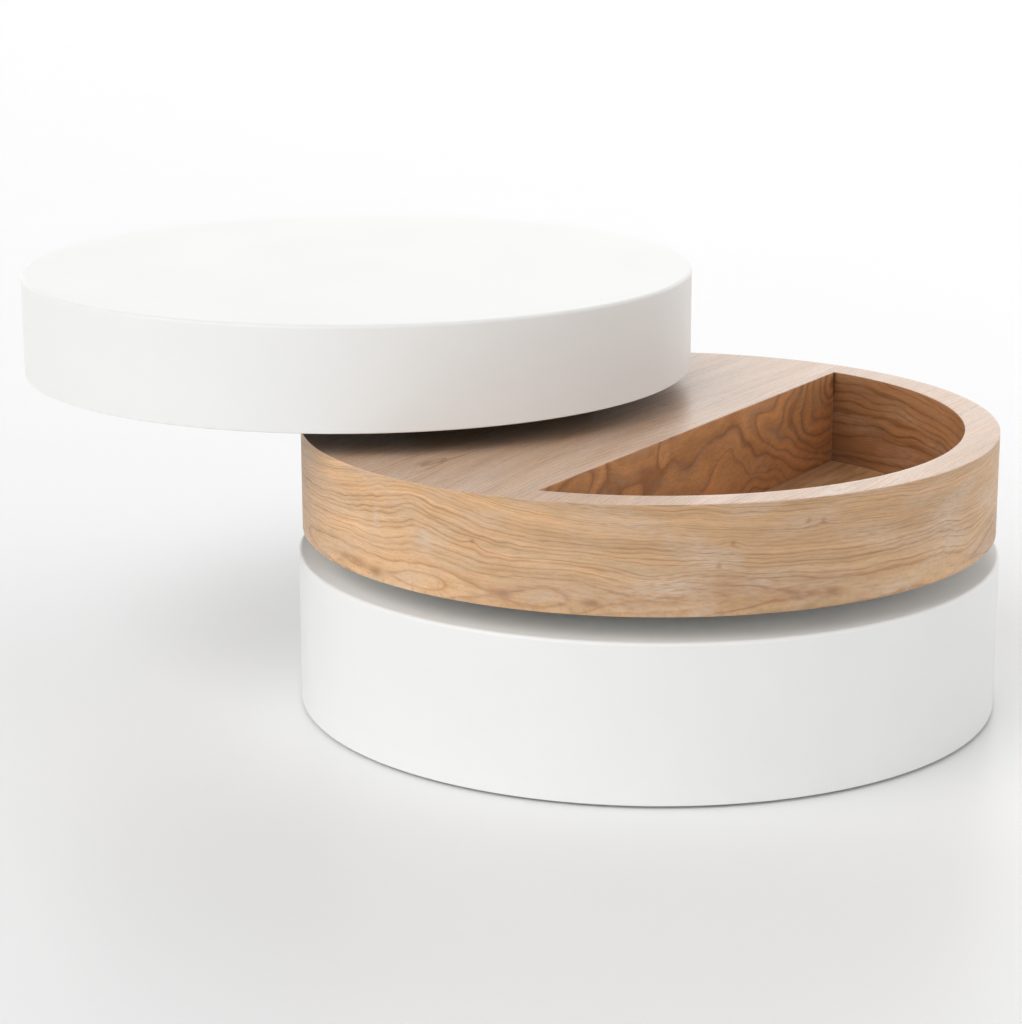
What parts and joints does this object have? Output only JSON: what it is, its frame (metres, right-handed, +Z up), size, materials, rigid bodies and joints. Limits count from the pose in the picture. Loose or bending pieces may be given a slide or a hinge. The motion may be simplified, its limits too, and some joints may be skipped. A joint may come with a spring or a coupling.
{
  "type": "swivel coffee table",
  "caption": "Round coffee table of stacked drums on one off-centre swivel axis; the top drum swings aside and uncovers a D-shaped storage pocket in the wooden middle drum.",
  "frame": {"origin": "on the floor, under the swivel axis that all three drums share, with the top drum swung fully open; that is the middle of the underside of the whole table in this position", "axes": "+Z up along the swivel axis; +X from the swivel axis to the centre of the base and the middle drum and on through the pocket, which is the table's longest extent with the top open; +Y to the left of +X"},
  "size_m": [1.2, 0.8, 0.465],
  "materials": {
    "white_lacquer": "satin white lacquer on board and bent plywood",
    "ash_veneer": "matt oiled ash veneer",
    "walnut_veneer": "matt oiled brown veneer of the pocket walls",
    "bare_board": "sawn board, unfinished",
    "black_board": "board painted matt black",
    "black_steel": "black powder coat",
    "zinc_steel": "zinc-plated steel",
    "cage_nylon": "natural nylon",
    "glide_nylon": "black nylon"
  },
  "bodies": {
    "base": {"base_hoop": "white_lacquer", "base_top_panel": "white_lacquer", "base_bottom_panel": "white_lacquer", "base_long_ribs": "bare_board", "base_cross_ribs": "bare_board", "base_pivot_block": "bare_board", "floor_glides": "glide_nylon", "lower_swivel_spacer": "black_board", "lower_fixed_plate": "black_steel", "lower_swivel_bolt": "zinc_steel", "lower_swivel_nut": "zinc_steel"},
    "lower_cage": {"lower_roller_cage": "cage_nylon", "lower_rollers": "zinc_steel"},
    "middle": {"middle_hoop": "ash_veneer", "middle_top_panel": "ash_veneer", "middle_bottom_panel": "ash_veneer", "pocket_straight_wall": "walnut_veneer", "pocket_curved_wall": "walnut_veneer", "rim_spacers": "bare_board", "middle_long_ribs": "bare_board", "middle_cross_ribs": "bare_board", "middle_pivot_block": "bare_board", "lower_turning_plate": "black_steel", "upper_swivel_spacer": "black_board", "upper_fixed_plate": "black_steel", "upper_swivel_bolt": "zinc_steel", "upper_swivel_nut": "zinc_steel"},
    "upper_cage": {"upper_roller_cage": "cage_nylon", "upper_rollers": "zinc_steel"},
    "top": {"top_hoop": "white_lacquer", "top_face_panel": "white_lacquer", "top_under_panel": "black_board", "top_long_ribs": "bare_board", "top_cross_ribs": "bare_board", "top_pivot_block": "bare_board", "upper_turning_plate": "black_steel"}
  },
  "joints": [
    {"name": "middle_swivel", "type": "hinge", "parent": "base", "child": "middle", "pos_m": [0, 0, 0.191], "axis": [0, 0, 1], "continuous": true},
    {"name": "lower_cage_turn", "type": "hinge", "parent": "base", "child": "lower_cage", "pos_m": [0, 0, 0.191], "axis": [0, 0, 1], "continuous": true},
    {"name": "top_swivel", "type": "hinge", "parent": "middle", "child": "top", "pos_m": [0, 0, 0.334], "axis": [0, 0, 1], "continuous": true},
    {"name": "upper_cage_turn", "type": "hinge", "parent": "middle", "child": "upper_cage", "pos_m": [0, 0, 0.334], "axis": [0, 0, 1], "continuous": true}
  ],
  "couplings": [
    {"joint": "lower_cage_turn", "follows": "middle_swivel", "ratio": 0.5},
    {"joint": "upper_cage_turn", "follows": "top_swivel", "ratio": 0.5}
  ]
}
